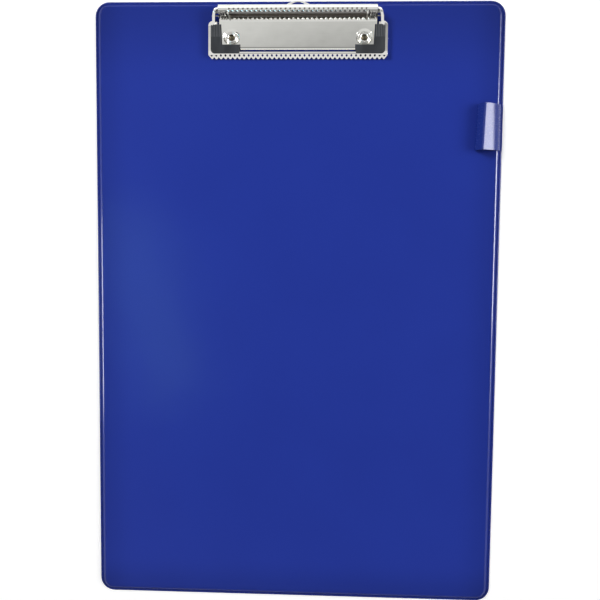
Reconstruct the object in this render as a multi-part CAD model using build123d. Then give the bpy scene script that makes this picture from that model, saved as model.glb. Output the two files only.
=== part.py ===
from build123d import *
import math
import os

# A covered clipboard of foolscap size, in millimetres.
# The origin is the centre of the back face. +Y points to the clip, +Z out of the writing face.

# Board and its welded covers
board_width = 230.0
board_length = 343.0
corner_radius = 8.0
film = 0.25
core_thickness = 2.2
rim_width = 1.5
bevel_run = 1.1
bevel_round = 0.8
core_gap = 0.4
core_round = 0.4

# Rivets, placed in from the jaw's sides
rivet_from_side = 12.8
rivet_from_top = 20.5
shank_radius = 2.1
hole_clearance = 0.1
head_radius = 4.5
head_thickness = 0.8
head_recess = 0.1
head_edge = 0.3
well_slope_run = 1.3
well_margin = 0.4
bore_radius = 1.65
bore_floor = 1.0
roll_radius = 2.8
roll_height = 0.6

# Base plate with its rolled barrel
plate_sheet = 0.7
plate_gap = 0.8
plate_step = 0.5
step_front_from_top = 9.1
step_back_from_top = 7.9
step_bend = 0.9
pad_clearance = 0.35
tongue_clearance = 0.4
barrel_from_side = 5.95
barrel_from_top = 7.5
barrel_radius = 3.75
barrel_lip_angle = 17.0
lip_from_top = 27.4
lip_bend = 1.5
dimple_floor_radius = 3.2
dimple_mouth_radius = 4.6
dimple_land = 0.2

# Lugs that stand in the barrel and hold the pin
lug_from_end = 5.05
lug_thickness = 0.8
lug_front = 1.9
lug_weld = 0.2

# Teeth, on the jaw and on the lip of the barrel
tooth_pitch = 2.6
tooth_width = 1.9
tooth_depth = 0.95
hole_width = 1.05
hole_from_notch = 0.75
barrel_teeth_from_end = 4.85

# Hinge pin and springs
pin_radius = 1.0
pin_fit = 0.05
pin_stand_out = 0.35
pin_end_round = 0.3
wire_radius = 0.4
coil_radius = 2.0
coil_pitch = 1.25
coil_quarters = 14
coil_start_from_lug = 0.75
coil_bend = 0.6
outer_leg_angle = 212.0
leg_fit = 0.1
leg_through_lug = 0.7
leg_stand_out = 0.3

# Jaw
jaw_half_width = 49.8
jaw_sheet = 1.0
arm_thickness = 1.4
jaw_web_above_face = 2.0
jaw_rim_above_face = 0.3
jaw_front_from_top = 32.3
jaw_bar_flat = 0.8
jaw_bar_width = 3.5
jaw_tip_above_face = 0.1
jaw_bend = 0.8
shoulder_from_top = 12.5
shoulder_step = 2.4
shoulder_fillet = 0.5
side_web_width = 4.9
front_corner = 1.7
ear_radius = 2.35
arm_gap = 0.3

# Corner pads
pad_from_side = 1.3
pad_length = 16.1
pad_leg_width = 6.0
pad_leg_taper = 0.6
pad_top_from_top = 13.9
pad_leg_height = 4.8
pad_overlap = 0.9
pad_cover = 0.4
pad_corner = 2.2
groove_count = 5
groove_width = 0.35
groove_depth = 0.2
groove_length = 6.5

# Sliding hanging loop
hanger_sheet = 0.6
hanger_half_width = 12.2
hanger_tip_from_top = 0.45
hanger_hole_radius = 6.0
hanger_web = 0.7
hanger_front_from_lip = 1.35
hanger_cross_length = 3.0
hanger_cross_corner = 0.8
hanger_fit = 0.3
hanger_stop_gap = 0.15

# Pen loop
loop_film = 0.35
loop_from_top = 56.9
loop_length = 25.4
loop_left_in_back = 14.4
loop_left_in_front = 15.5
loop_crest_in_back = 11.0
loop_crest_in_front = 12.0
loop_height = 6.5
loop_fold_radius = 1.0
loop_ridge_slope = 20.0

# Places that follow from the sizes above
top_edge = board_length / 2
side_edge = board_width / 2
rim_top = 2 * film
core_top = film + core_thickness
face = core_top + film
bevel_slope = bevel_run / (face - rim_top)
rivet_x = jaw_half_width - rivet_from_side
rivet_y = top_edge - rivet_from_top
rivet_xs = (-rivet_x, rivet_x)
rivet_hole_radius = shank_radius + hole_clearance
well_floor = head_recess + head_thickness
well_radius = head_radius + well_margin
well_mouth = well_radius + well_slope_run

valley_bottom = face + plate_gap
plate_bottom = valley_bottom + plate_step
plate_top = plate_bottom + plate_sheet
barrel_half_width = jaw_half_width - barrel_from_side
barrel_y = top_edge - barrel_from_top
barrel_z = valley_bottom + barrel_radius
barrel_inner = barrel_radius - plate_sheet
barrel_lip_y = barrel_y - barrel_radius * math.sin(math.radians(barrel_lip_angle))
barrel_teeth = round(2 * (barrel_half_width - barrel_teeth_from_end) / tooth_pitch)
lug_outer = barrel_half_width - lug_from_end
lip_y = top_edge - lip_from_top
dimple_run = dimple_mouth_radius - dimple_floor_radius
dimple_depth = plate_bottom - face
dimple_shift = plate_sheet * (math.hypot(dimple_run, dimple_depth) - dimple_run) / dimple_depth
dimple_edge = dimple_mouth_radius + dimple_shift + dimple_land

web_bottom = face + jaw_web_above_face
web_top = web_bottom + jaw_sheet
jaw_front = top_edge - jaw_front_from_top
window_front = jaw_front + jaw_bar_width
window_half_width = jaw_half_width - side_web_width
jaw_teeth = round(2 * jaw_half_width / tooth_pitch)
shoulder_y = top_edge - shoulder_from_top
arm_inner = barrel_half_width + arm_gap
arm_outer = jaw_half_width - shoulder_step
ear_back = barrel_y + ear_radius
pad_top = top_edge - pad_top_from_top
pad_front = window_front - pad_overlap
pad_inner_y = pad_front + pad_leg_height
pad_outer = jaw_half_width - pad_from_side
pad_end = pad_outer - pad_length
pad_inner_bottom = pad_outer - pad_leg_width
pad_inner_top = pad_inner_bottom + pad_leg_taper
tongue_half_width = pad_end - tongue_clearance
coil_start_angle = outer_leg_angle + 90.0 * coil_quarters
coil_end_angle = outer_leg_angle


def ring_box(half_x, half_y, radius):
    return RectangleRounded(2 * half_x, 2 * half_y, radius)


def box_between(low, high):
    size = [b - a for a, b in zip(low, high)]
    return Pos(*low) * Box(*size, align=(Align.MIN, Align.MIN, Align.MIN))


def turned(points, x, y):
    """A solid turned about the upright line through (x, y), from (radius, height) points."""
    outline = make_face(Plane.XZ * Polyline(*points, close=True))
    return Pos(x, y, 0) * revolve(outline, axis=Axis.Z)


def upright_hole(x, y, radius, low, high):
    height = high - low
    return Pos(x, y, low) * Cylinder(radius, height, align=(Align.CENTER, Align.CENTER, Align.MIN))


def both_sides(right):
    """The right-hand solid with its mirror image on the left."""
    return right + mirror(right, Plane.YZ)


def prism(points, low, high):
    return extrude(Pos(0, 0, low) * make_face(Polyline(*points, close=True)), high - low)


def raised_block(thinner, bottom, top, rounding):
    """The sloping-sided block that the front cover is drawn over, or its inside, thinner all round."""
    inset = rim_width + (bottom - rim_top) * bevel_slope + thinner
    base = Pos(0, 0, bottom) * ring_box(side_edge - inset, top_edge - inset, corner_radius - inset)
    block = extrude(base, amount=top - bottom, taper=math.degrees(math.atan(bevel_slope)))
    return fillet(block.edges().group_by(Axis.Z)[-1], rounding)


def film_well(x):
    """The back film where it is pressed up round a rivet's head."""
    edge = well_mouth + well_margin
    step = film / 2
    points = [
        (rivet_hole_radius, well_floor),
        (well_radius, well_floor),
        (well_mouth, 0),
        (edge, 0),
        (edge, film),
        (well_mouth + step, film),
        (well_radius + step, well_floor + film),
        (rivet_hole_radius, well_floor + film),
    ]
    return turned(points, x, rivet_y)


def make_back_cover():
    sheet = extrude(ring_box(side_edge, top_edge, corner_radius), film)
    for x in rivet_xs:
        sheet -= upright_hole(x, rivet_y, well_mouth + well_margin, -1, film + 1)
        sheet += film_well(x)
    return sheet


def make_board_core():
    inset = rim_width + bevel_run + core_gap
    outline = ring_box(side_edge - inset, top_edge - inset, corner_radius - inset)
    core = Pos(0, 0, film) * extrude(outline, core_thickness)
    core = fillet(core.edges().group_by(Axis.Z)[-1], core_round)
    slack = film / 2 + hole_clearance
    for x in rivet_xs:
        points = [
            (0, 0),
            (well_mouth + slack, 0),
            (well_mouth + slack, film),
            (well_radius + slack, well_floor + film),
            (0, well_floor + film),
        ]
        core -= turned(points, x, rivet_y)
        core -= upright_hole(x, rivet_y, rivet_hole_radius, 0, face)
    return core


def make_front_cover():
    flange = Pos(0, 0, film) * extrude(ring_box(side_edge, top_edge, corner_radius), film)
    wall = film * math.hypot(1, bevel_slope)
    cover = flange + raised_block(0, rim_top, face, bevel_round)
    cover -= raised_block(wall, film, core_top, bevel_round - film)
    for x in rivet_xs:
        cover -= upright_hole(x, rivet_y, rivet_hole_radius, 0, face + 1)
    return cover


def bevel_offset(distance, height):
    """Where a line lying that far outside the cover's bevel crosses a height."""
    return side_edge - rim_width - (height - rim_top) * bevel_slope + distance * math.hypot(1, bevel_slope)


def loop_skin(left, crest, inward):
    """The loop's skin in section: round its fold, up the flank and over the ridge to the bevel."""
    layers = loop_film if inward else 2 * loop_film
    end_z = face + layers
    end = (bevel_offset(layers, end_z), end_z)
    radius = loop_fold_radius - inward
    fold = (left + loop_fold_radius, face + loop_fold_radius)
    ridge = (crest, face + loop_height - loop_fold_radius)
    flank = math.degrees(math.atan2(ridge[1] - fold[1], ridge[0] - fold[0])) + 90
    turn = CenterArc(fold, radius, 270, flank - 270)
    over = CenterArc(ridge, radius, flank, 90 - loop_ridge_slope - flank)
    down = Spline(over @ 1, end, tangents=(over % 1, (bevel_slope, -1)))
    return [turn, Line(turn @ 1, over @ 0), over, down], end


def loop_outside(left, crest):
    skin, end = loop_skin(left, crest, 0)
    crown = rim_top + 2 * loop_film
    foot = face
    tail = Polyline(
        end,
        (bevel_offset(2 * loop_film, crown), crown),
        (side_edge, crown),
        (side_edge, rim_top),
        (side_edge - rim_width, rim_top),
        (bevel_offset(0, foot), foot),
        (left + loop_fold_radius, foot),
    )
    return make_face(skin + [tail])


def loop_inside(left, crest):
    skin, end = loop_skin(left, crest, loop_film)
    return make_face(skin + [Line(end, (left + loop_fold_radius, face + loop_film))])


def make_pen_loop():
    """A folded strip, wider at its front end, with both ends welded down on the rim."""
    back = Plane.XZ.offset(-(top_edge - loop_from_top))
    front = Plane.XZ.offset(-(top_edge - loop_from_top - loop_length))
    ends = [(back, loop_left_in_back, loop_crest_in_back), (front, loop_left_in_front, loop_crest_in_front)]
    spots = [(plane, side_edge - left, side_edge - crest) for plane, left, crest in ends]
    outside = loft([plane * loop_outside(left, crest) for plane, left, crest in spots], ruled=True)
    inside = loft([plane * loop_inside(left, crest) for plane, left, crest in spots], ruled=True)
    return outside - inside


def tooth_cuts(count, edge_y, low, high):
    """Upright prisms that cut a row of pointed teeth and a hole behind each tooth."""
    notch_y = edge_y + tooth_depth
    hole_y = notch_y + hole_from_notch
    cuts = []
    for i in range(count):
        tip_x = (i - (count - 1) / 2) * tooth_pitch
        hole = Pos(tip_x, hole_y, low) * RegularPolygon(hole_width / 2, 6, major_radius=False)
        cuts.append(extrude(hole, high - low))
    for i in range(count + 1):
        x = (i - count / 2) * tooth_pitch
        half = tooth_width / 2
        slope = tooth_depth / half
        points = [(x - half - 1 / slope, edge_y - 1), (x, notch_y), (x + half + 1 / slope, edge_y - 1)]
        cuts.append(prism(points, low, high))
    return cuts


def pressed_dimple(x):
    """A dimple pressed down to the board round a rivet."""
    points = [
        (rivet_hole_radius, face),
        (dimple_floor_radius + dimple_shift, face),
        (dimple_mouth_radius + dimple_shift, plate_bottom),
        (dimple_edge, plate_bottom),
        (dimple_edge, plate_top),
        (dimple_mouth_radius, plate_top),
        (dimple_floor_radius, face + plate_sheet),
        (rivet_hole_radius, face + plate_sheet),
    ]
    return turned(points, x, rivet_y)


def barrel_profile():
    """The section of the base plate: lip, flat, step, and the barrel rolled up and over the pin."""
    flat = plate_bottom + plate_sheet / 2
    valley = valley_bottom + plate_sheet / 2
    corners = [
        (lip_y, face),
        (lip_y, flat),
        (top_edge - step_front_from_top, flat),
        (top_edge - step_back_from_top, valley),
        (barrel_y, valley),
    ]
    line = FilletPolyline(*corners, radius=(lip_bend, step_bend, step_bend))
    roll = CenterArc((barrel_y, barrel_z), barrel_radius - plate_sheet / 2, -90, 180 + barrel_lip_angle)
    return trace([line, roll], line_width=plate_sheet)


def plate_plan():
    """The base plate from above: a tongue between the corner pads, then wings beside them."""
    right = [
        (0, lip_y - plate_sheet),
        (tongue_half_width, lip_y - plate_sheet),
        (tongue_half_width, pad_inner_y + pad_clearance),
        (pad_inner_bottom - pad_clearance, pad_inner_y + pad_clearance),
        (pad_inner_top - pad_clearance, pad_top + pad_clearance),
        (barrel_half_width, pad_top + pad_clearance),
        (barrel_half_width, top_edge),
        (0, top_edge),
    ]
    plan = make_face(Polyline(*right, close=True))
    return plan + mirror(plan, Plane.YZ)


def pin_lug():
    """A lug standing in the barrel, with holes for the pin and for the spring's inner leg."""
    section = Circle(barrel_inner + lug_weld) - Pos(-barrel_radius - lug_front, 0) * Rectangle(
        2 * barrel_radius, 2 * barrel_radius)
    section -= Circle(pin_radius)
    inner_leg = leg_spot(coil_start_angle, -1)
    section -= Pos(*inner_leg) * Circle(wire_radius + leg_fit)
    lug = Plane.YZ.offset(lug_outer - lug_thickness) * Pos(barrel_y, barrel_z) * section
    return extrude(lug, lug_thickness)


def make_base_plate():
    plate = extrude(Plane.YZ * barrel_profile(), barrel_half_width, both=True)
    for x in rivet_xs:
        plate -= upright_hole(x, rivet_y, dimple_edge, face, plate_top + 1)
        plate += pressed_dimple(x)
    plate &= extrude(plate_plan(), 4 * barrel_radius)
    for cut in tooth_cuts(barrel_teeth, barrel_lip_y, barrel_z, barrel_z + 2 * barrel_radius):
        plate -= cut
    return plate + both_sides(pin_lug())


def make_rivets():
    seat = face + plate_sheet
    rivets = []
    for x in rivet_xs:
        lines = [
            Polyline((0, head_recess), (head_radius - head_edge, head_recess),
                     (head_radius, head_recess + head_edge), (head_radius, well_floor),
                     (shank_radius, well_floor), (shank_radius, seat), (roll_radius, seat)),
            ThreePointArc((roll_radius, seat), ((roll_radius + bore_radius) / 2, seat + roll_height),
                          (bore_radius, seat)),
            Polyline((bore_radius, seat), (bore_radius, well_floor + bore_floor),
                     (0, well_floor + bore_floor / 2), (0, head_recess)),
        ]
        outline = make_face([Plane.XZ * line for line in lines])
        rivets.append(Pos(x, rivet_y, 0) * revolve(outline, axis=Axis.Z))
    return Compound(children=[rivet.solid() for rivet in rivets])


def arm_face(y):
    """The half-width to the arm's outer face, where the quarter oval crosses that y."""
    reach = (y - shoulder_y) / (ear_back - shoulder_y)
    return arm_inner + (arm_outer - arm_inner) * math.sqrt(1 - reach * reach)


def arm_outline(inset):
    """The jaw's right side from above: straight rim, round shoulder, then a quarter oval to the ear."""
    outer = jaw_half_width - inset
    step_x = arm_outer - inset
    back = ear_back - inset
    shoulder = shoulder_y - inset
    lines = [
        Line((arm_inner, jaw_front), (outer, jaw_front)),
        Line((outer, jaw_front), (outer, shoulder - shoulder_step)),
        CenterArc((step_x, shoulder - shoulder_step), shoulder_step, 0, 90),
        EllipticalCenterArc((arm_inner, shoulder), step_x - arm_inner, back - shoulder, 0, arc_size=90),
        Line((arm_inner, back), (arm_inner, jaw_front)),
    ]
    outline = make_face(lines)
    corner = outline.vertices().sort_by_distance((step_x, shoulder))[0]
    return fillet(corner, shoulder_fillet)


def arm_side_view():
    """The right side seen from the side: a straight rim that rises to a round ear."""
    rim_low = face + jaw_rim_above_face
    start = jaw_front + jaw_bar_width / 2
    middle = (rim_low + web_top) / 2
    rim = Pos((start + pad_top) / 2, middle) * Rectangle(pad_top - start, web_top - rim_low)
    foot = Pos(pad_top - jaw_sheet / 2, middle) * Rectangle(jaw_sheet, web_top - rim_low)
    ear = Pos(barrel_y, barrel_z) * Circle(ear_radius)
    return rim + make_hull(foot.edges() + ear.edges())


def front_bar():
    """The jaw's front bar: flat behind, bent down in front, and cut into teeth."""
    flat = web_bottom + jaw_sheet / 2
    fold_y = window_front - jaw_bar_flat
    low = face + jaw_tip_above_face
    rise = flat - low
    run = fold_y - jaw_front
    lean = math.atan2(rise, run)
    half = jaw_sheet / 2
    tip = (jaw_front + half * math.sin(lean), low + half * math.cos(lean))
    line = FilletPolyline((window_front, flat), (fold_y, flat), tip, radius=jaw_bend)
    bar = extrude(Plane.YZ * trace(line, line_width=jaw_sheet), jaw_half_width, both=True)
    for cut in tooth_cuts(jaw_teeth, jaw_front, face, web_top + 1):
        bar -= cut
    return bar


def make_jaw_frame():
    band = arm_outline(0) - arm_outline(arm_thickness)
    right = extrude(Pos(0, 0, face) * band, 4 * barrel_radius)
    right &= extrude(Plane.YZ * arm_side_view(), 2 * jaw_half_width)
    strip = box_between((window_half_width, jaw_front + jaw_bar_width / 2, web_bottom),
                        (jaw_half_width, shoulder_y, web_top))
    right += strip & extrude(Pos(0, 0, web_bottom) * arm_outline(0), jaw_sheet)
    across = Plane.YZ * Pos(barrel_y, barrel_z)
    right -= extrude(across * Circle(pin_radius + pin_fit), jaw_half_width)
    outer_leg = leg_spot(coil_end_angle, 1)
    right -= extrude(across * Pos(*outer_leg) * Circle(wire_radius + leg_fit), jaw_half_width)
    frame = front_bar() + both_sides(right)
    plan = Pos(0, jaw_front + jaw_half_width) * Rectangle(2 * jaw_half_width, 2 * jaw_half_width)
    plan = chamfer(plan.vertices().group_by(Axis.Y)[0], front_corner)
    return frame & extrude(plan, 2 * web_top + 4 * barrel_radius)


def make_right_pad(frame):
    """A moulded corner pad that wraps the inner edges of the jaw."""
    points = [
        (pad_end, pad_front),
        (pad_outer, pad_front),
        (pad_outer, pad_top),
        (pad_inner_top, pad_top),
        (pad_inner_bottom, pad_inner_y),
        (pad_end, pad_inner_y),
    ]
    outline = make_face(Polyline(*points, close=True))
    corner = outline.vertices().sort_by_distance((pad_outer, pad_front))[0]
    high = web_top + pad_cover
    block = extrude(Pos(0, 0, face) * fillet(corner, pad_corner), high - face)
    block = chamfer(block.edges().group_by(Axis.Z)[-1], pad_cover / 2)
    step = (pad_outer - pad_inner_top) / (groove_count + 1)
    for i in range(groove_count):
        x = pad_inner_top + (i + 1) * step
        block -= box_between((x - groove_width / 2, pad_top - groove_length, high - groove_depth),
                             (x + groove_width / 2, pad_top + 1, high + 1))
    return block - frame


def on_coil(angle):
    turn = math.radians(angle)
    return coil_radius * math.cos(turn), coil_radius * math.sin(turn)


def leg_spot(angle, ahead):
    """Where a leg runs along the pin, in the side view from the pin: one bend on from the coil."""
    turn = math.radians(angle)
    y, z = on_coil(angle)
    return y + ahead * coil_bend * math.sin(turn), z - ahead * coil_bend * math.cos(turn)


def biarc(start, start_way, end, end_way):
    """Two arcs that leave one point along its direction and reach the next along its own."""
    span = end - start
    ways = start_way + end_way
    bend = 2 * (1 - start_way.dot(end_way))
    along = span.dot(ways)
    reach = (math.sqrt(along * along + bend * span.dot(span)) - along) / bend
    near = start + start_way * reach
    far = end - end_way * reach
    middle = (near + far) * 0.5
    return [Edge.make_tangent_arc(start, start_way, middle), Edge.make_tangent_arc(middle, far - near, end)]


def spring_path():
    """The right spring's wire: inner leg in the lug, coil, and outer leg through the jaw's arm."""
    first_x = lug_outer + coil_start_from_lug
    spots = []
    ways = []
    for i in range(coil_quarters + 1):
        angle = coil_start_angle - 90.0 * i
        y, z = on_coil(angle)
        turn = math.radians(angle)
        quarter = coil_radius * math.pi / 2
        spots.append(Vector(first_x + coil_pitch * i / 4, barrel_y + y, barrel_z + z))
        ways.append(Vector(coil_pitch / 4, quarter * math.sin(turn), -quarter * math.cos(turn)).normalized())
    along = Vector(1, 0, 0)
    leg_in = spots[0] - ways[0] * coil_bend - along * coil_bend
    leg_out = spots[-1] + ways[-1] * coil_bend + along * coil_bend
    start = Vector(lug_outer - leg_through_lug, leg_in.Y, leg_in.Z)
    end = Vector(arm_face(leg_out.Y) + leg_stand_out, leg_out.Y, leg_out.Z)
    edges = [Edge.make_line(start, leg_in)]
    edges += biarc(leg_in, along, spots[0], ways[0])
    for i in range(coil_quarters):
        edges += biarc(spots[i], ways[i], spots[i + 1], ways[i + 1])
    edges += biarc(spots[-1], ways[-1], leg_out, along)
    edges.append(Edge.make_line(leg_out, end))
    return edges, start


def least_self_gap(edges):
    """The least clear distance between parts of the wire that are half a turn or more apart."""
    points = [edge @ (i / 6) for edge in edges for i in range(6)]
    least = 1000.0
    for i, a in enumerate(points):
        travelled = 0.0
        for j in range(i + 1, len(points)):
            travelled += (points[j] - points[j - 1]).length
            if travelled > coil_radius * math.pi:
                least = min(least, (points[j] - a).length)
    return least - 2 * wire_radius


def make_spring():
    edges, start = spring_path()
    print("spring: least gap to itself", round(least_self_gap(edges), 3), "mm")
    section = Plane(origin=start, z_dir=(1, 0, 0)) * Circle(wire_radius)
    return sweep(section, path=Wire(edges))


def make_hinge_pin():
    """The pin, held fast in the lugs, its ends standing out a little from the jaw's arms."""
    half = arm_face(barrel_y) + pin_stand_out
    pin = extrude(Plane.YZ * Pos(barrel_y, barrel_z) * Circle(pin_radius), half, both=True)
    return chamfer(pin.edges().filter_by(GeomType.CIRCLE), pin_end_round)


def make_hanging_loop():
    """A flat eye that slides out from under the plate until its turned-up front meets the step."""
    low = face + (plate_gap - hanger_sheet) / 2
    tip = top_edge - hanger_tip_from_top
    front = lip_y + hanger_front_from_lip
    round_y = tip - hanger_half_width
    cross_half = rivet_x - dimple_mouth_radius - dimple_shift - hanger_fit
    strip = Pos(0, (front + round_y) / 2) * Rectangle(2 * hanger_half_width, round_y - front)
    cross = Pos(0, front + hanger_cross_length / 2) * RectangleRounded(
        2 * cross_half, hanger_cross_length, hanger_cross_corner)
    plan = strip + cross + Pos(0, round_y) * Circle(hanger_half_width)
    plan -= Pos(0, tip - hanger_web - hanger_hole_radius) * Circle(hanger_hole_radius)
    eye = extrude(Pos(0, 0, low) * plan, hanger_sheet)
    half = cross_half - hanger_cross_corner
    return eye + box_between((-half, front, low), (half, front + hanger_sheet, plate_bottom - hanger_stop_gap))


frame = make_jaw_frame()
pad = make_right_pad(frame)
spring = make_spring()
shapes = {
    "board_core": make_board_core(),
    "back_cover": make_back_cover(),
    "front_cover": make_front_cover(),
    "pen_loop": make_pen_loop(),
    "base_plate": make_base_plate(),
    "rivets": make_rivets(),
    "hinge_pin": make_hinge_pin(),
    "torsion_spring_left": mirror(spring, Plane.YZ),
    "torsion_spring_right": spring,
    "jaw_frame": frame,
    "corner_pad_left": mirror(pad, Plane.YZ),
    "corner_pad_right": pad,
    "hanging_loop": make_hanging_loop(),
}
os.makedirs("parts", exist_ok=True)
for name, shape in shapes.items():
    export_step(shape, "parts/" + name + ".step")
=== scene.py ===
# %% [markdown]
# # A covered clipboard
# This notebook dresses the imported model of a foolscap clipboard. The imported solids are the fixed
# frame: each one already sits where the real piece sits, in metres, with its origin at the centre
# of the board's back face. Here they get their finishes, and the films, the pressed steel and the
# springs, which plain solids can't show well, get a finer mesh of their own.

import math

import bmesh
import bpy
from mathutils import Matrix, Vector


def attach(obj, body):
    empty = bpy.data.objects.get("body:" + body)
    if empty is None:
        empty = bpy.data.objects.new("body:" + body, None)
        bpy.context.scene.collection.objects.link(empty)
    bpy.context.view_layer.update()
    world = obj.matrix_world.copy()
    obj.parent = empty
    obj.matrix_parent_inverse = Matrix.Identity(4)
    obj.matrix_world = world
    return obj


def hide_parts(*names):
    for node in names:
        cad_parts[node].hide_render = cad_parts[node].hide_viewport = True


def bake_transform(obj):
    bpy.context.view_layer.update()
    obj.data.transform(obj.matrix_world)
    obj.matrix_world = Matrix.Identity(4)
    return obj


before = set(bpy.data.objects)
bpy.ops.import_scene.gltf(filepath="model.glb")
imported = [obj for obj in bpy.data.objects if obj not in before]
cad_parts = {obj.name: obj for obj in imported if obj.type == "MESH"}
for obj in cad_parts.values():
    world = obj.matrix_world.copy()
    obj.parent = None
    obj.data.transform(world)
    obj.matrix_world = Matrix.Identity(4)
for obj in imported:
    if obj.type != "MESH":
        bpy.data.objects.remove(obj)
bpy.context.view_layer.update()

MM = 0.001
scene = bpy.context.scene
scene.view_settings.view_transform = "Standard"

# %% [markdown]
# ## The camera
# The photograph looks down on the board from a little to the right of its middle and a little
# towards the clip, through a fairly short lens. The place and turn below were found by fitting the
# board's straight edges and corners.

# %% Camera
camera_data = bpy.data.cameras.new("camera")
camera_data.lens = 45.0
camera_data.sensor_width = 36.0
camera = bpy.data.objects.new("camera", camera_data)
camera.location = (20.7 * MM, 36.1 * MM, 430.9 * MM)
camera.rotation_euler = [math.radians(a) for a in (-4.23, 2.46, 0.56)]
scene.collection.objects.link(camera)
scene.camera = camera
print("camera height over the desk:", round(camera.location.z, 3), "m")

# %% [markdown]
# ## Shader helper
# Node trees are hard to read when each Math node is wired by hand. One small class wraps a socket
# and overloads the arithmetic signs, so that a mask can be written as an ordinary expression.


# %% Sockets that can be added and multiplied
class Wire:
    """A node socket inside a material, with the arithmetic that the finishes below need."""

    def __init__(self, tree, socket):
        self.tree = tree
        self.socket = socket

    def node(self, kind, settings=None, output=0, **sockets):
        """Adds a node: its settings first, then values or links for its sockets, by name or index."""
        made = self.tree.nodes.new(kind)
        for name, value in (settings or {}).items():
            setattr(made, name, value)
        for name, value in sockets.items():
            key = int(name[1:]) if name[0] == "i" and name[1:].isdigit() else name.replace("_", " ")
            connect(self.tree, made.inputs[key], value)
        return Wire(self.tree, made.outputs[output])

    def math(self, operation, first, second=0.0):
        return self.node("ShaderNodeMath", {"operation": operation}, i0=first, i1=second)

    def __add__(self, other):
        return self.math("ADD", self, other)

    def __sub__(self, other):
        return self.math("SUBTRACT", self, other)

    def __rsub__(self, other):
        return self.math("SUBTRACT", other, self)

    def __mul__(self, other):
        return self.math("MULTIPLY", self, other)

    __radd__ = __add__
    __rmul__ = __mul__

    def between(self, low, high):
        """0 below low, 1 above high, and a smooth rise from one to the other."""
        return self.node("ShaderNodeMapRange", {"interpolation_type": "SMOOTHSTEP"},
                         Value=self, From_Min=low, From_Max=high)


def connect(tree, socket, value):
    if isinstance(value, Wire):
        tree.links.new(value.socket, socket)
    else:
        socket.default_value = value


# %% Materials, noise and relief
def new_finish(name, **constants):
    """A material with its main shader, whose fixed values are set on the shader's own sockets."""
    finish = bpy.data.materials.new(name)
    finish.use_nodes = True
    shader = finish.node_tree.nodes["Principled BSDF"]
    for key, value in constants.items():
        shader.inputs[key.replace("_", " ")].default_value = value
    place = finish.node_tree.nodes.new("ShaderNodeTexCoord")
    return finish, shader, Wire(finish.node_tree, place.outputs["Object"])


def noise(place, size, detail=2.0, stretch=(1.0, 1.0, 1.0), roughness=0.5):
    """Soft blotches of about that size in metres."""
    stretched = place.node("ShaderNodeMapping", Vector=place, Scale=stretch)
    return place.node("ShaderNodeTexNoise", Vector=stretched, Scale=1.0 / size, Detail=detail,
                      Roughness=roughness)


def feed(wire, shader, name):
    connect(wire.tree, shader.inputs[name], wire)


def mix_colours(place, amount, first, second):
    """The first colour where amount is 0, the second where it is 1. Either may be a wire."""
    ends = [end if isinstance(end, Wire) else (*end, 1.0) for end in (first, second)]
    return place.node("ShaderNodeMix", {"data_type": "RGBA"}, output=2, i0=amount, i6=ends[0], i7=ends[1])


def bump(place, height, depth, base=None):
    """A surface relief of that depth in metres."""
    extra = {"Normal": base} if base else {}
    return place.node("ShaderNodeBump", Height=height, Strength=1.0, Distance=depth, **extra)


def axes(place):
    """The three coordinates of a place, each as a wire of its own."""
    parted = place.node("ShaderNodeSeparateXYZ", Vector=place).socket.node
    return [Wire(place.tree, output) for output in parted.outputs]


def ray_mask(tree, *kinds):
    """1 for rays of the kinds that are named, as the Light Path node calls them, and 0 for others."""
    rays = tree.nodes.new("ShaderNodeLightPath").outputs
    first, *others = [Wire(tree, rays[kind]) for kind in kinds]
    return sum(others, first)


def in_metres(sizes):
    return [size * MM for size in sizes]


def distance(across, along):
    """How far a place is from a straight line, from its offsets in the two directions."""
    square = across * across + along * along
    return square.math("SQRT", square)

# %% [markdown]
# ## Desk and light
# The photograph is a packshot on white. A broad soft lamp far to the right paints the bright streak
# on the pen loop and, with one behind on the left, lights the matt film. Four more are there for
# shine alone. Those on the left, on the right and behind draw the bright lines along the bevel and
# on the rolled steel, and a narrow bluish one high on the left leaves the long faint sheen.
#
# The room fills the rest evenly, and mirrors see it brighter than matt things do, as they would see
# white walls, apart from a dim spot overhead where the camera is held. Light that was made for
# mirrors would also be thrown by the steel on to the film, and wash out the clip's soft shadow. A
# Light Path node counts the matt surfaces that a ray has met, and shuts that light off after one.


# %% Desk
DESK_GLOW = 0.4


def make_desk(half, sink):
    mesh = bpy.data.meshes.new("desk")
    mesh.from_pydata([(-half, -half, -sink), (half, -half, -sink), (half, half, -sink), (-half, half, -sink)],
                     [], [(0, 1, 2, 3)])
    desk = bpy.data.objects.new("desk", mesh)
    scene.collection.objects.link(desk)
    finish, shader, place = new_finish("desk_white", Roughness=0.9, Specular_IOR_Level=0.0)
    shader.inputs["Base Color"].default_value = (0.85, 0.85, 0.85, 1.0)
    shader.inputs["Emission Color"].default_value = (1.0, 1.0, 1.0, 1.0)
    seen = ray_mask(finish.node_tree, "Is Camera Ray", "Is Glossy Ray")
    feed(seen * DESK_GLOW, shader, "Emission Strength")
    mesh.materials.append(finish)
    return desk


desk = make_desk(3.0, 0.05 * MM)
print("desk side:", round(desk.dimensions.x, 1), "m")


# %% Lamps
def seen_first_hand(tree):
    """1 for what is mirrored straight to the eye, 0 for light that metal throws on to a matt surface."""
    bounces = Wire(tree, tree.nodes.new("ShaderNodeLightPath").outputs["Diffuse Depth"])
    return bounces.math("LESS_THAN", bounces, 0.5)


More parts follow.
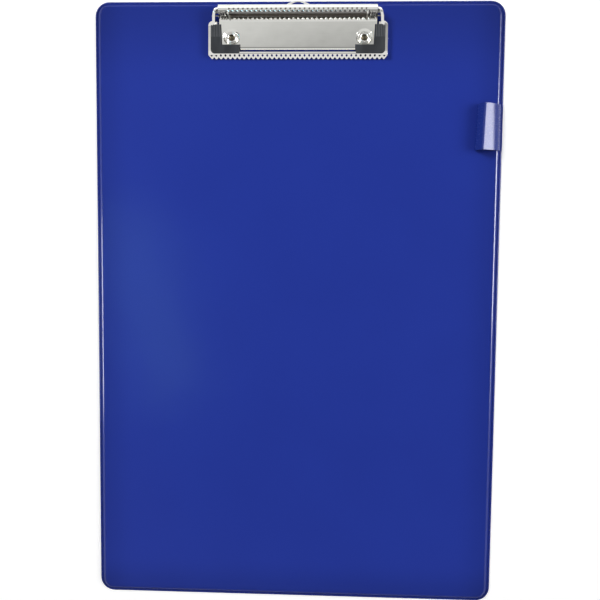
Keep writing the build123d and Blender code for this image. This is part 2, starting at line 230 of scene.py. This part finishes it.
def soft_lamp(name, place, size, power, matt=True, shine=True, colour=(1.0, 1.0, 1.0)):
    """A rectangular lamp that faces the middle of the board, for matt surfaces, for shine or both."""
    data = bpy.data.lights.new(name, "AREA")
    data.shape = "RECTANGLE"
    data.size, data.size_y = size
    data.energy = power
    data.color = colour
    lamp = bpy.data.objects.new(name, data)
    lamp.location = place
    lamp.rotation_euler = (-Vector(place)).to_track_quat("-Z", "Y").to_euler()
    lamp.visible_diffuse = matt
    lamp.visible_glossy = shine
    if not matt:
        data.use_nodes = True
        emission = data.node_tree.nodes["Emission"]
        feed(seen_first_hand(data.node_tree), emission, "Strength")
    scene.collection.objects.link(lamp)
    area = size[0] * size[1]
    print(name, "radiance:", round(power / (math.pi * area), 2))
    return lamp


soft_lamp("long_lamp_left", (-0.404, -0.109, 1.3), (0.45, 0.12), 0.80, matt=False, colour=(0.4, 0.8, 1.0))
soft_lamp("far_lamp_left", (-0.90, 0.80, 1.00), (0.50, 0.50), 13.6, shine=False)
soft_lamp("far_lamp_right", (2.10, 0.20, 1.30), (1.60, 1.00), 32.0)
soft_lamp("shine_lamp_left", (-0.95, -0.11, 0.75), (0.40, 0.70), 12.6, matt=False)
soft_lamp("shine_lamp_right", (0.95, 0.11, 0.80), (0.50, 0.85), 18.5, matt=False)
soft_lamp("shine_lamp_back", (0.0, 1.40, 0.35), (1.60, 0.50), 4.5, matt=False)

# %% Room
MATT_LEVEL = 0.18
MIRROR_LEVEL = 0.80
OVERHEAD_WAY = (0.05, -0.10, 1.0)
OVERHEAD_EDGE = (25.0, 16.0)
OVERHEAD_SHADE = 0.6
world = bpy.data.worlds.new("room")
scene.world = world
world.use_nodes = True
background = world.node_tree.nodes["Background"]
background.inputs["Color"].default_value = (1.0, 1.0, 1.0, 1.0)
seen = ray_mask(world.node_tree, "Is Camera Ray", "Is Transmission Ray")
mirrored = ray_mask(world.node_tree, "Is Glossy Ray") * seen_first_hand(world.node_tree)
overhead = Wire(world.node_tree, world.node_tree.nodes.new("ShaderNodeTexCoord").outputs["Generated"])
toward = overhead.node("ShaderNodeVectorMath", {"operation": "DOT_PRODUCT"}, output=1,
                       i0=overhead, i1=Vector(OVERHEAD_WAY).normalized())
shade = toward.between(*(math.cos(math.radians(edge)) for edge in OVERHEAD_EDGE))
bright = 1.0 - shade * OVERHEAD_SHADE
level = seen * (1.0 - MATT_LEVEL) + mirrored * (bright * MIRROR_LEVEL - MATT_LEVEL) + MATT_LEVEL
feed(level, background, "Strength")
print("room level for matt things:", MATT_LEVEL, "and for mirrors:", MIRROR_LEVEL)

# %% [markdown]
# ## Covers
# The board is wrapped in two sheets of blue plastic film, welded together round the rim. The film
# has a fine pressed grain, which scatters the light into faint specks, and it lies in very shallow
# waves over the board. Both come from noise in a Bump node, at two very different sizes. Painted
# shade darkens its colour towards its edges, over the widest band at the top beside the clip, which
# is a mask on the distance from the middle. Hands polish the shoulders of its long sides, which is a
# thin clear coat on those shoulders alone.


# %% Blue plastic film
SHOULDER_HEIGHT = ((2.35, 2.5), (2.685, 2.698))
SHOULDER_FROM_MIDDLE = (110.0, 111.0)
# Bands where painted shade darkens the film's colour, in millimetres from the middle
SHADED_SIDES = (93.0, 116.0)
SHADED_TOP = (122.0, 172.0)
SHADED_BOTTOM = (148.0, 173.0)


def film_finish(name, gloss, roughness, grain_depth, wave_depth, dark, light, edge_shade_and_polish=0.0):
    """Blue film. Where the last value is 1, painted shade darkens its colour towards the edges, and hands
    polish the long sides' shoulders.
    """
    finish, shader, place = new_finish(name, IOR=1.5, Specular_IOR_Level=gloss, Coat_IOR=1.45,
                                       Coat_Roughness=0.12)
    speckle = noise(place, 0.0007, 3.0, roughness=0.65)
    cloud = noise(place, 0.05, 2.0)
    across, along, height = axes(place)
    from_middle = across.math("ABSOLUTE", across)
    sides = from_middle.between(*in_metres(SHADED_SIDES))
    ends = along.between(*in_metres(SHADED_TOP)) + (0.0 - along).between(*in_metres(SHADED_BOTTOM))
    unshaded = mix_colours(place, speckle * 0.55 + cloud * 0.45, dark, light)
    # painted shade: the colour darkens towards the sides and the ends, most widely at the top beside the clip
    painted_edge_shade = (sides * 0.20 + ends * 0.25) * edge_shade_and_polish
    feed(mix_colours(place, painted_edge_shade, unshaded, (0.0, 0.0, 0.0)), shader, "Base Color")
    low, high = (height.between(*in_metres(ends_at)) for ends_at in SHOULDER_HEIGHT)
    held = from_middle.between(*in_metres(SHOULDER_FROM_MIDDLE))
    feed(low * (1.0 - high) * held * edge_shade_and_polish, shader, "Coat Weight")
    feed(speckle.between(0.2, 0.8) * 0.14 + (roughness - 0.07), shader, "Roughness")
    waves = bump(place, noise(place, 0.028, 1.0), wave_depth)
    feed(bump(place, speckle, grain_depth, waves), shader, "Normal")
    return finish


# the last value turns on the painted edge shade and the polished shoulders
cover_film = film_finish("cover_film_grained", 0.12, 0.18, 0.00001, 0.00020,
                         (0.017, 0.038, 0.330), (0.023, 0.052, 0.420), 1.0)
loop_film = film_finish("loop_film_smooth", 0.36, 0.24, 0.000008, 0.00010,
                        (0.012, 0.030, 0.24), (0.020, 0.046, 0.33))
print("film finishes:", cover_film.name, "and", loop_film.name)

# %% [markdown]
# ## The front film as one skin
# On the real board the front film is stretched over the core and welded down flat round the rim,
# so its section is a flat edge, a shallow pressed groove, a steep bevel and a soft shoulder. One
# such section is carried round the board's rounded outline, ring by ring, and a Solidify modifier
# gives the sheet its thickness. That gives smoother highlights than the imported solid's few facets.

# %% Sizes of the covers, in millimetres
BOARD_WIDTH = 230.0
BOARD_LENGTH = 343.0
CORNER_RADIUS = 8.0
FILM = 0.25
FILM_WALL = 0.9 * FILM
RIM_TOP = 2 * FILM
RIM_WIDTH = 1.5
RIM_ROUND = 0.03
BEVEL_RUN = 1.1
BEVEL_FOOT = 0.25
FACE = 2.7
RINGS_PAST_SHOULDER = (0.3, 1.2)
SHOULDER_RADIUS = 1.5
SHOULDER_STEPS = 8
GROOVE_FROM_EDGE = 1.2
GROOVE_WIDTH = 0.4
GROOVE_DEPTH = 0.06
GROOVE_LIP = 0.05
RIVET_X = 37.0
RIVET_Y = 151.0
RIVET_HOLE = 2.2
HOLE_SIDES = 32


# %% Helpers for meshes
def new_piece(name, vertices, faces, finish, body):
    """A piece of the object from points in millimetres."""
    mesh = bpy.data.meshes.new(name)
    mesh.from_pydata([tuple(c * MM for c in v) for v in vertices], [], faces)
    mesh.materials.append(finish)
    piece = bpy.data.objects.new(name, mesh)
    scene.collection.objects.link(piece)
    if body:
        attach(piece, body)
    return piece


def apply_modifiers(piece):
    """Turns what the modifiers show into the piece's own mesh."""
    graph = bpy.context.evaluated_depsgraph_get()
    made = bpy.data.meshes.new_from_object(piece.evaluated_get(graph), depsgraph=graph)
    made.name = piece.name
    piece.modifiers.clear()
    piece.data = made
    return piece


def smooth(piece, degrees):
    """Smooth shading with sharp edges where faces meet at more than that angle."""
    piece.data.shade_smooth()
    piece.data.set_sharp_from_angle(angle=math.radians(degrees))


def report(piece):
    piece.data.calc_loop_triangles()
    print(piece.name, "has", len(piece.data.loop_triangles), "triangles")


# %% Front film
def outline(inset, per_corner=12):
    """Points round the board's outline, moved in by that much."""
    radius = CORNER_RADIUS - inset
    points = []
    for turn, sx, sy in ((0, 1, 1), (90, -1, 1), (180, -1, -1), (270, 1, -1)):
        cx = sx * (BOARD_WIDTH / 2 - CORNER_RADIUS)
        cy = sy * (BOARD_LENGTH / 2 - CORNER_RADIUS)
        for i in range(per_corner + 1):
            angle = math.radians(turn + 90 * i / per_corner)
            points.append((cx + radius * math.cos(angle), cy + radius * math.sin(angle)))
    return points


def film_section():
    """The film's section as (inset, height) pairs, from the rim's edge up to the flat face."""
    rise = FACE - RIM_TOP
    slope = math.atan2(rise, BEVEL_RUN)
    groove_in = GROOVE_FROM_EDGE - GROOVE_WIDTH / 2
    groove_out = GROOVE_FROM_EDGE + GROOVE_WIDTH / 2
    section = [(0.0, RIM_TOP - RIM_ROUND), (RIM_ROUND, RIM_TOP), (groove_in - GROOVE_LIP, RIM_TOP),
               (groove_in, RIM_TOP - GROOVE_DEPTH), (groove_out, RIM_TOP - GROOVE_DEPTH)]
    foot = BEVEL_FOOT / 2
    section.append((RIM_WIDTH - foot, RIM_TOP))
    section.append((RIM_WIDTH + foot * math.cos(slope), RIM_TOP + foot * math.sin(slope)))
    centre = (RIM_WIDTH + BEVEL_RUN + SHOULDER_RADIUS * math.tan(slope / 2), FACE - SHOULDER_RADIUS)
    for i in range(SHOULDER_STEPS + 1):
        angle = math.pi / 2 + slope * (1 - i / SHOULDER_STEPS)
        section.append((centre[0] + SHOULDER_RADIUS * math.cos(angle),
                        centre[1] + SHOULDER_RADIUS * math.sin(angle)))
    return section + [(centre[0] + further, FACE) for further in RINGS_PAST_SHOULDER]


def fill_face(film, first):
    """Closes the flat face inside the last ring, round the two holes that the rivets go through."""
    shape = bmesh.new()
    shape.from_mesh(film.data)
    shape.verts.ensure_lookup_table()
    ring = shape.verts[first:]
    edges = [shape.edges.get((a, b)) for a, b in zip(ring, ring[1:] + ring[:1])]
    for side in (-1, 1):
        turns = [2 * math.pi * i / HOLE_SIDES for i in range(HOLE_SIDES)]
        hole = [shape.verts.new(((side * RIVET_X + RIVET_HOLE * math.cos(t)) * MM,
                                 (RIVET_Y + RIVET_HOLE * math.sin(t)) * MM, FACE * MM)) for t in turns]
        edges += [shape.edges.new((a, b)) for a, b in zip(hole, hole[1:] + hole[:1])]
    bmesh.ops.triangle_fill(shape, use_beauty=True, normal=(0, 0, 1), edges=edges)
    shape.to_mesh(film.data)
    shape.free()


def make_front_film():
    vertices = []
    faces = []
    rings = film_section()
    for inset, height in rings:
        vertices += [(x, y, height) for x, y in outline(inset)]
    count = len(vertices) // len(rings)
    for ring in range(len(rings) - 1):
        for i in range(count):
            a = ring * count + i
            b = ring * count + (i + 1) % count
            faces.append((a, b, b + count, a + count))
    film = new_piece("front_film", vertices, faces, cover_film, "board")
    fill_face(film, (len(rings) - 1) * count)
    wall = film.modifiers.new("wall", "SOLIDIFY")
    wall.thickness = FILM_WALL * MM
    wall.offset = -1.0
    apply_modifiers(film)
    smooth(film, 50)
    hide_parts("front_cover")
    return film


report(make_front_film())

# %% [markdown]
# ## Weld marks
# The welding bar leaves a row of short pressed marks all round the rim. They are hundreds of copies
# of one small bar that follow a path, which is what Geometry Nodes are for: the outline becomes a
# curve, the curve is divided at an even pitch, and a bar is set on each point across the rim.

# %% Sizes of the marks, in millimetres
MARK_PITCH = 2.9
MARK_LENGTH = 0.75
MARK_HEIGHT = 0.10
MARK_INSET = 0.45
MARK_WIDTH = 1.4 * MARK_INSET


# %% A node tree that repeats a bar along a path
def marks_tree():
    tree = bpy.data.node_groups.new("weld_marks", "GeometryNodeTree")
    face = tree.interface
    face.new_socket("Path", in_out="INPUT", socket_type="NodeSocketGeometry")
    face.new_socket("Pitch", in_out="INPUT", socket_type="NodeSocketFloat")
    face.new_socket("Bar size", in_out="INPUT", socket_type="NodeSocketVector")
    face.new_socket("Finish", in_out="INPUT", socket_type="NodeSocketMaterial")
    face.new_socket("Marks", in_out="OUTPUT", socket_type="NodeSocketGeometry")
    start = tree.nodes.new("NodeGroupInput")
    end = tree.nodes.new("NodeGroupOutput")

    def add(kind, settings=None, **links):
        made = tree.nodes.new(kind)
        for name, value in (settings or {}).items():
            setattr(made, name, value)
        for name, value in links.items():
            tree.links.new(value, made.inputs[name.replace("_", " ")])
        return made

    curve = add("GeometryNodeMeshToCurve", Mesh=start.outputs["Path"])
    even = add("GeometryNodeResampleCurve", {"mode": "LENGTH"}, Curve=curve.outputs[0],
               Length=start.outputs["Pitch"])
    bar = add("GeometryNodeMeshCube", Size=start.outputs["Bar size"])
    along = add("GeometryNodeInputTangent")
    turn = add("FunctionNodeAlignRotationToVector", {"axis": "X"}, Vector=along.outputs[0])
    row = add("GeometryNodeInstanceOnPoints", Points=even.outputs[0], Instance=bar.outputs[0],
              Rotation=turn.outputs[0])
    solid = add("GeometryNodeRealizeInstances", Geometry=row.outputs[0])
    painted = add("GeometryNodeSetMaterial", Geometry=solid.outputs[0], Material=start.outputs["Finish"])
    tree.links.new(painted.outputs[0], end.inputs["Marks"])
    return tree


def set_inputs(modifier, **values):
    """Sets a node modifier's inputs by their sockets' identifiers."""
    for item in modifier.node_group.interface.items_tree:
        key = item.name.replace(" ", "_").lower()
        if item.in_out == "INPUT" and key in values:
            modifier[item.identifier] = values[key]


def make_weld_marks():
    path = [(x, y, RIM_TOP) for x, y in outline(MARK_INSET)]
    mesh = bpy.data.meshes.new("weld_marks")
    edges = [(i, (i + 1) % len(path)) for i in range(len(path))]
    mesh.from_pydata([tuple(c * MM for c in p) for p in path], edges, [])
    marks = bpy.data.objects.new("weld_marks", mesh)
    scene.collection.objects.link(marks)
    rule = marks.modifiers.new("row", "NODES")
    rule.node_group = marks_tree()
    set_inputs(rule, pitch=MARK_PITCH * MM, finish=mark_film,
               bar_size=(MARK_LENGTH * MM, MARK_WIDTH * MM, 2 * MARK_HEIGHT * MM))
    apply_modifiers(marks)
    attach(marks, "board")
    return marks


mark_film = film_finish("weld_mark_film", 0.4, 0.3, 0.00001, 0.00002,
                        (0.013, 0.030, 0.22), (0.026, 0.048, 0.30))
marks = make_weld_marks()
report(marks)
print("marks along the rim:", len(marks.data.polygons) // 6)

# %% [markdown]
# ## The pen loop
# The loop is one strip of smoother film, folded on itself and welded to the rim at both ends. It
# lies flat on the board, turns back at a tight fold, climbs a flank to a rounded ridge, and falls
# over the bevel to the weld. The path of the fold is worked out once for each end of the strip, and
# the rows between them are mixed from the two, with a slight sag, as soft film has.

# %% Sizes of the pen loop, in millimetres
LOOP_FILM = 0.35
LOOP_WALL = 0.96 * LOOP_FILM
LOOP_EDGE_GAP = 0.05
LOOP_BACK_Y = 114.6
LOOP_FRONT_Y = 89.2
LOOP_HEIGHT = 6.5
LOOP_FOLD_RADIUS = 1.0
LOOP_RIDGE_SLOPE = 20.0
LOOP_ENDS = {"back": (100.6, 104.0), "front": (99.5, 103.0)}
LOOP_ROWS = 24
LOOP_SAG = 0.12


# %% The strip's path, seen along the board
def bevel_line(height, distance):
    """Where a line that far outside the bevel crosses a height."""
    slope = BEVEL_RUN / (FACE - RIM_TOP)
    return BOARD_WIDTH / 2 - RIM_WIDTH - (height - RIM_TOP) * slope + distance * math.hypot(1, slope)


def even_steps(first, last, count):
    return [tuple(a + (b - a) * i / count for a, b in zip(first, last)) for i in range(count)]


def arc(centre, radius, first, last, count):
    turns = [math.radians(first + (last - first) * i / count) for i in range(count)]
    return [(centre[0] + radius * math.cos(t), centre[1] + radius * math.sin(t)) for t in turns]


def soft_fall(first, first_way, last, last_way, count):
    """A smooth curve between two points, leaving and arriving along the given directions."""
    reach = math.dist(first, last)
    points = []
    for i in range(count):
        t = i / count
        spread = (2 * t**3 - 3 * t**2 + 1, (t**3 - 2 * t**2 + t) * reach,
                  3 * t**2 - 2 * t**3, (t**3 - t**2) * reach)
        ends = (first, first_way, last, last_way)
        points.append(tuple(sum(k * end[axis] for k, end in zip(spread, ends)) for axis in (0, 1)))
    return points


def loop_path(left, ridge_x):
    """The middle of the strip, from the lower weld round the fold and the ridge to the upper weld."""
    half = LOOP_FILM / 2
    lie = FACE + half
    radius = LOOP_FOLD_RADIUS - half
    fold = (left + LOOP_FOLD_RADIUS, FACE + LOOP_FOLD_RADIUS)
    ridge = (ridge_x, FACE + LOOP_HEIGHT - LOOP_FOLD_RADIUS)
    flank = math.degrees(math.atan2(ridge[1] - fold[1], ridge[0] - fold[0])) + 90
    over = 90 - LOOP_RIDGE_SLOPE
    lower_weld = (BOARD_WIDTH / 2 - LOOP_EDGE_GAP, RIM_TOP + half)
    upper_weld = (BOARD_WIDTH / 2 - LOOP_EDGE_GAP, RIM_TOP + 3 * half)
    start = (bevel_line(RIM_TOP + half, half), RIM_TOP + half)
    knee = (bevel_line(lie, half), lie)
    points = even_steps(lower_weld, start, 3) + even_steps(start, knee, 5)
    points += even_steps(knee, (fold[0], lie), 10)
    points += arc(fold, radius, 270, flank, 9)
    turn = [(c[0] + radius * math.cos(math.radians(flank)), c[1] + radius * math.sin(math.radians(flank)))
            for c in (fold, ridge)]
    points += even_steps(turn[0], turn[1], 6) + arc(ridge, radius, flank, over, 9)
    top = math.radians(over)
    fall_from = (ridge[0] + radius * math.cos(top), ridge[1] + radius * math.sin(top))
    fall_to = (bevel_line(FACE + 3 * half, 3 * half), FACE + 3 * half)
    slope = Vector((BEVEL_RUN, -(FACE - RIM_TOP))).normalized()
    points += soft_fall(fall_from, (math.sin(top), -math.cos(top)), fall_to, tuple(slope), 14)
    foot = (bevel_line(RIM_TOP + 3 * half, 3 * half), RIM_TOP + 3 * half)
    return points + even_steps(fall_to, foot, 5) + even_steps(foot, upper_weld, 3) + [upper_weld]


# %% The strip
def make_pen_loop():
    back = loop_path(*LOOP_ENDS["back"])
    front = loop_path(*LOOP_ENDS["front"])
    vertices = []
    for row in range(LOOP_ROWS + 1):
        t = row / LOOP_ROWS
        sag = LOOP_SAG * math.sin(math.pi * t)
        y = LOOP_BACK_Y + (LOOP_FRONT_Y - LOOP_BACK_Y) * t
        for i, (a, b) in enumerate(zip(back, front)):
            x = a[0] + (b[0] - a[0]) * t
            z = a[1] + (b[1] - a[1]) * t
            lift = max(0.0, z - FACE - 1.0) / LOOP_HEIGHT
            vertices.append((x, y, z - sag * lift))
    count = len(back)
    faces = []
    for row in range(LOOP_ROWS):
        for i in range(count - 1):
            a = row * count + i
            faces.append((a, a + 1, a + count + 1, a + count))
    strip = new_piece("pen_loop_film", vertices, faces, loop_film, "board")
    wall = strip.modifiers.new("wall", "SOLIDIFY")
    wall.thickness = LOOP_WALL * MM
    wall.offset = 0.0
    apply_modifiers(strip)
    smooth(strip, 40)
    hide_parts("pen_loop")
    return strip


report(make_pen_loop())

# %% [markdown]
# ## Metal
# The clip is sheet steel with a bright nickel plating: a mirror with faint drawing lines and a
# little haze. The inside of the rolled barrel never gets polished, so it is dull, and painted shade
# turns its colour a warm dark grey. That mask is made from the distance to the pin's line, so it
# follows the roll. Pressing the barrel and the jaw's bend also leaves a shallow dip in the flat sheet
# beside them: it is far too slight to model, but a Bump node on a mask tilts what is mirrored there,
# and the teeth show twice.

# %% Sizes of the clip, in millimetres
PIN_Y = 164.0
PIN_Z = 7.25
BARREL_INSIDE = 3.05
BARREL_FADE = 0.12
BORE_RADIUS = 1.65
BORE_FADE = (-0.05, 0.15)
PLATE_DIP = (159.2, 162.4)
JAW_DIP = (140.6, 143.4)
DIP_DEPTH = 0.12
EDGE_ROUND = 0.12


# %% Bright plated steel
def plated_finish(name, haze, dull_shaded_barrel, low, high, wave_depth, dip):
    """Nickel plating. Where the third value is 1, what lies within the rolled barrel is dull, and painted
    shade darkens its colour.
    """
    finish, shader, place = new_finish(name, Metallic=1.0)
    _, y, z = axes(place)
    cloud = noise(place, 0.012, 3.0)
    lines = noise(place, 0.0004, 2.0, stretch=(0.03, 1.0, 1.0))
    off_y = y - PIN_Y * MM
    off_z = z - PIN_Z * MM
    outside = distance(off_y, off_z).between(*in_metres((BARREL_INSIDE, BARREL_INSIDE + BARREL_FADE)))
    inside = (1.0 - outside) * dull_shaded_barrel
    bright = mix_colours(place, cloud, low, high)
    # painted shade: within the roll the colour turns a warm dark grey; the higher roughness there is real
    # dullness
    feed(mix_colours(place, inside, bright, (0.36, 0.335, 0.305)), shader, "Base Color")
    feed(cloud * 0.04 + lines * 0.03 + inside * 0.25 + haze, shader, "Roughness")
    dish = 1.0 - y.between(*in_metres(dip))
    waves = bump(place, noise(place, 0.009, 1.0), wave_depth, bump(place, dish, DIP_DEPTH * MM))
    feed(bump(place, lines, 0.000002, waves), shader, "Normal")
    return finish


plated_steel = plated_finish("plated_steel", 0.02, 0.0, (0.86, 0.85, 0.82), (0.95, 0.94, 0.91),
                             0.00005, JAW_DIP)
barrel_steel = plated_finish("barrel_steel", 0.02, 1.0, (0.74, 0.74, 0.70), (0.84, 0.84, 0.80),
                             0.00002, PLATE_DIP)


# %% Rivets, with painted shade in their bores
def rivet_finish():
    finish, shader, place = new_finish("rivet_steel", Metallic=1.0)
    x, y, _ = axes(place)
    cloud = noise(place, 0.002, 3.0)
    off_x = x.math("ABSOLUTE", x) - RIVET_X * MM
    off_y = y - RIVET_Y * MM
    bore_dull_and_shaded = 1.0 - distance(off_x, off_y).between(*in_metres(BORE_RADIUS + step for step in BORE_FADE))
    bright = mix_colours(place, cloud, (0.72, 0.70, 0.66), (0.86, 0.85, 0.82))
    # painted shade: the bores are coloured a near-black brown, and they are also rougher
    feed(mix_colours(place, bore_dull_and_shaded, bright, (0.10, 0.085, 0.06)), shader, "Base Color")
    feed(cloud * 0.08 + bore_dull_and_shaded * 0.35 + 0.05, shader, "Roughness")
    feed(bump(place, cloud, 0.00001), shader, "Normal")
    return finish


rivet_steel = rivet_finish()


# %% Drawn wire
def wire_finish():
    finish, shader, place = new_finish("drawn_wire", Metallic=1.0)
    lines = noise(place, 0.0003, 2.0, stretch=(0.1, 1.0, 1.0))
    feed(mix_colours(place, lines, (0.16, 0.155, 0.15), (0.30, 0.29, 0.28)), shader, "Base Color")
    feed(lines * 0.2 + 0.25, shader, "Roughness")
    feed(bump(place, lines, 0.000004), shader, "Normal")
    return finish


drawn_wire = wire_finish()
print("metals:", plated_steel.name, barrel_steel.name, rivet_steel.name, drawn_wire.name)

# %% [markdown]
# ## Rounded edges
# Sheet steel that is stamped has edges rounded by the press and by tumbling, and it is those thin
# rounds that catch the light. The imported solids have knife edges, so each metal piece is copied,
# its loose triangles are joined, flat areas are merged, and a Bevel modifier rounds what is sharp.
# The rounds would also tilt the smooth shading of the wide flat faces beside them, and a mirror
# shows that as blotches. A Weighted Normal modifier gives those faces their own direction back.


# %% A copy with rounded edges
def rounded_copy(node, name, finish, body, width, sharp_from=35.0):
    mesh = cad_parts[node].data.copy()
    shape = bmesh.new()
    shape.from_mesh(mesh)
    bmesh.ops.remove_doubles(shape, verts=shape.verts, dist=0.002 * MM)
    bmesh.ops.dissolve_limit(shape, angle_limit=math.radians(0.6), verts=shape.verts, edges=shape.edges)
    shape.to_mesh(mesh)
    shape.free()
    mesh.materials.clear()
    mesh.materials.append(finish)
    piece = bpy.data.objects.new(name, mesh)
    scene.collection.objects.link(piece)
    edge = piece.modifiers.new("edge", "BEVEL")
    edge.width = width * MM
    edge.segments = 2
    edge.limit_method = "ANGLE"
    edge.angle_limit = math.radians(sharp_from)
    edge.use_clamp_overlap = True
    apply_modifiers(piece)
    smooth(piece, 32)
    flat = piece.modifiers.new("flat", "WEIGHTED_NORMAL")
    flat.keep_sharp = True
    apply_modifiers(piece)
    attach(piece, body)
    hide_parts(node)
    report(piece)
    return piece


rounded_copy("base_plate", "base_plate_pressed", barrel_steel, "board", EDGE_ROUND)
rounded_copy("jaw_frame", "jaw_frame_pressed", plated_steel, "jaw", EDGE_ROUND)
rounded_copy("hanging_loop", "hanging_loop_pressed", plated_steel, "hanger", EDGE_ROUND)
rounded_copy("rivets", "rivets_set", rivet_steel, "board", 0.5 * EDGE_ROUND)

# %% [markdown]
# ## Corner pads
# The two pads are moulded in charcoal rubber, pressed over the inner edges of the jaw. Narrow ribs
# run along their upper legs. There the colour carries a painted bluish sheen, and the channels between
# the ribs are rougher, with painted shade that makes them near black. A wave over the piece's own x
# coordinate draws that exactly on the moulded ribs.

# %% Sizes of the pads, in millimetres
PAD_INNER = 43.1
PAD_OUTER = 48.5
PAD_GROOVES = 5
PAD_TOP_Y = 157.6
PAD_GROOVE_LENGTH = 6.5
PAD_GROOVE_FADE = 0.4


# %% Moulded rubber
def rubber_finish():
    finish, shader, place = new_finish("pad_rubber", IOR=1.5, Specular_IOR_Level=0.4)
    x, y, _ = axes(place)
    speckle = noise(place, 0.0005, 3.0)
    smear = noise(place, 0.006, 2.0, stretch=(1.0, 0.3, 1.0))
    step = (PAD_OUTER - PAD_INNER) / (PAD_GROOVES + 1)
    from_inner = (x.math("ABSOLUTE", x) - (PAD_INNER + step / 2) * MM) * (1 / (step * MM))
    wave = from_inner.math("FRACT", from_inner)
    from_middle = (wave - 0.5).math("ABSOLUTE", wave - 0.5)
    channel = 1.0 - from_middle.between(0.10, 0.30)
    leg_foot = PAD_TOP_Y - PAD_GROOVE_LENGTH
    leg = y.between(*in_metres((leg_foot - PAD_GROOVE_FADE, leg_foot)))
    ribs = channel * leg
    plain = mix_colours(place, smear.between(0.35, 0.75), (0.011, 0.013, 0.017), (0.026, 0.030, 0.036))
    # painted sheen: the ribbed upper legs are coloured a lighter bluish grey
    painted_leg_sheen = mix_colours(place, leg * 0.6, plain, (0.125, 0.133, 0.148))
    # painted shade: the channels between the ribs are coloured near black
    feed(mix_colours(place, ribs, painted_leg_sheen, (0.002, 0.003, 0.005)), shader, "Base Color")
    feed(smear * 0.2 + ribs * 0.3 + 0.32, shader, "Roughness")
    feed(bump(place, speckle, 0.00001), shader, "Normal")
    return finish


pad_rubber = rubber_finish()
for side in ("left", "right"):
    rounded_copy("corner_pad_" + side, "pad_moulded_" + side, pad_rubber, "jaw", 0.25)

# %% [markdown]
# ## Torsion springs
# Each spring is one wire: a short leg in the barrel's lug, three and a half turns round the pin, and
# a leg through the jaw's arm. The tube is built where it sits and is attached to neither body.

# %% Sizes of the springs, in millimetres
LUG_OUTER = 38.8
LEG_START = LUG_OUTER - 0.7
COIL_START = LUG_OUTER + 0.75
COIL_RADIUS = 2.0
COIL_PITCH = 1.25
COIL_TURNS = 3.5
COIL_BEND = 0.6
STEPS_PER_TURN = 28
WIRE_RADIUS = 0.4
OUTER_LEG_ANGLE = 212.0
OUTER_LEG_END = 47.7
WIRE_SIDES = 12


# %% The wire's middle line
def spring_line():
    """Points along the right-hand wire: leg, round bend, coil, round bend, leg."""
    start_angle = math.radians(OUTER_LEG_ANGLE + 360 * COIL_TURNS)
    end_angle = math.radians(OUTER_LEG_ANGLE)

    def on_coil(t):
        turn = start_angle + (end_angle - start_angle) * t
        return Vector((COIL_START + COIL_PITCH * COIL_TURNS * t, PIN_Y + COIL_RADIUS * math.cos(turn),
                       PIN_Z + COIL_RADIUS * math.sin(turn)))

    steps = int(STEPS_PER_TURN * COIL_TURNS)
    coil = [on_coil(i / steps) for i in range(steps + 1)]
    way_in = (coil[1] - coil[0]).normalized()
    way_out = (coil[-1] - coil[-2]).normalized()
    along = Vector((1, 0, 0))

    def bend(first, corner, last):
        return [first.lerp(corner, t).lerp(corner.lerp(last, t), t)
                for t in (0.0, 0.17, 0.33, 0.5, 0.67, 0.83)]

    corner_in = coil[0] - way_in * COIL_BEND
    corner_out = coil[-1] + way_out * COIL_BEND
    leg_in = corner_in - along * COIL_BEND
    leg_out = corner_out + along * COIL_BEND
    points = [Vector((LEG_START, leg_in.y, leg_in.z))] + bend(leg_in, corner_in, coil[0])
    points += coil[:-1] + bend(coil[-1], corner_out, leg_out)
    return points + [leg_out, Vector((OUTER_LEG_END, leg_out.y, leg_out.z))]


# %% The tube
def tube(points, radius, sides):
    """Rings of points round a line, with a closed end at each side."""
    across = Vector((0, 1, 0))
    vertices = []
    faces = []
    for i, point in enumerate(points):
        way = (points[min(i + 1, len(points) - 1)] - points[max(i - 1, 0)]).normalized()
        across = (across - way * across.dot(way)).normalized()
        up = way.cross(across)
        for k in range(sides):
            turn = 2 * math.pi * k / sides
            vertices.append(point + (across * math.cos(turn) + up * math.sin(turn)) * radius)
    for i in range(len(points) - 1):
        for k in range(sides):
            a = i * sides + k
            b = i * sides + (k + 1) % sides
            faces.append((a, b, b + sides, a + sides))
    faces.append(tuple(reversed(range(sides))))
    faces.append(tuple(range((len(points) - 1) * sides, len(points) * sides)))
    return vertices, faces


def make_spring(side, sign):
    vertices, faces = tube(spring_line(), WIRE_RADIUS, WIRE_SIDES)
    if sign < 0:
        vertices = [(-v[0], v[1], v[2]) for v in vertices]
        faces = [tuple(reversed(face)) for face in faces]
    spring = new_piece("spring_" + side, vertices, faces, drawn_wire, None)
    smooth(spring, 60)
    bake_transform(spring)
    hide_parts("torsion_spring_" + side)
    report(spring)
    return spring


make_spring("right", 1)
make_spring("left", -1)

# %% [markdown]
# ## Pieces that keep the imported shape
# The core is hidden, the back cover is flat, and the pin is a plain rod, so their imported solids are
# right as they are and only take a finish. Pressed grey board is short fibres in all directions.


# %% Grey board
def board_finish():
    finish, shader, place = new_finish("grey_board", IOR=1.5, Specular_IOR_Level=0.2)
    fibres = noise(place, 0.0008, 4.0, stretch=(1.0, 0.3, 1.0))
    feed(mix_colours(place, fibres, (0.25, 0.23, 0.20), (0.40, 0.37, 0.33)), shader, "Base Color")
    feed(fibres * 0.1 + 0.85, shader, "Roughness")
    feed(bump(place, fibres, 0.00005), shader, "Normal")
    return finish


grey_board = board_finish()
for node, finish in {"board_core": grey_board, "back_cover": cover_film, "hinge_pin": drawn_wire}.items():
    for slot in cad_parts[node].material_slots:
        slot.material = finish
    print(node, "gets", finish.name)
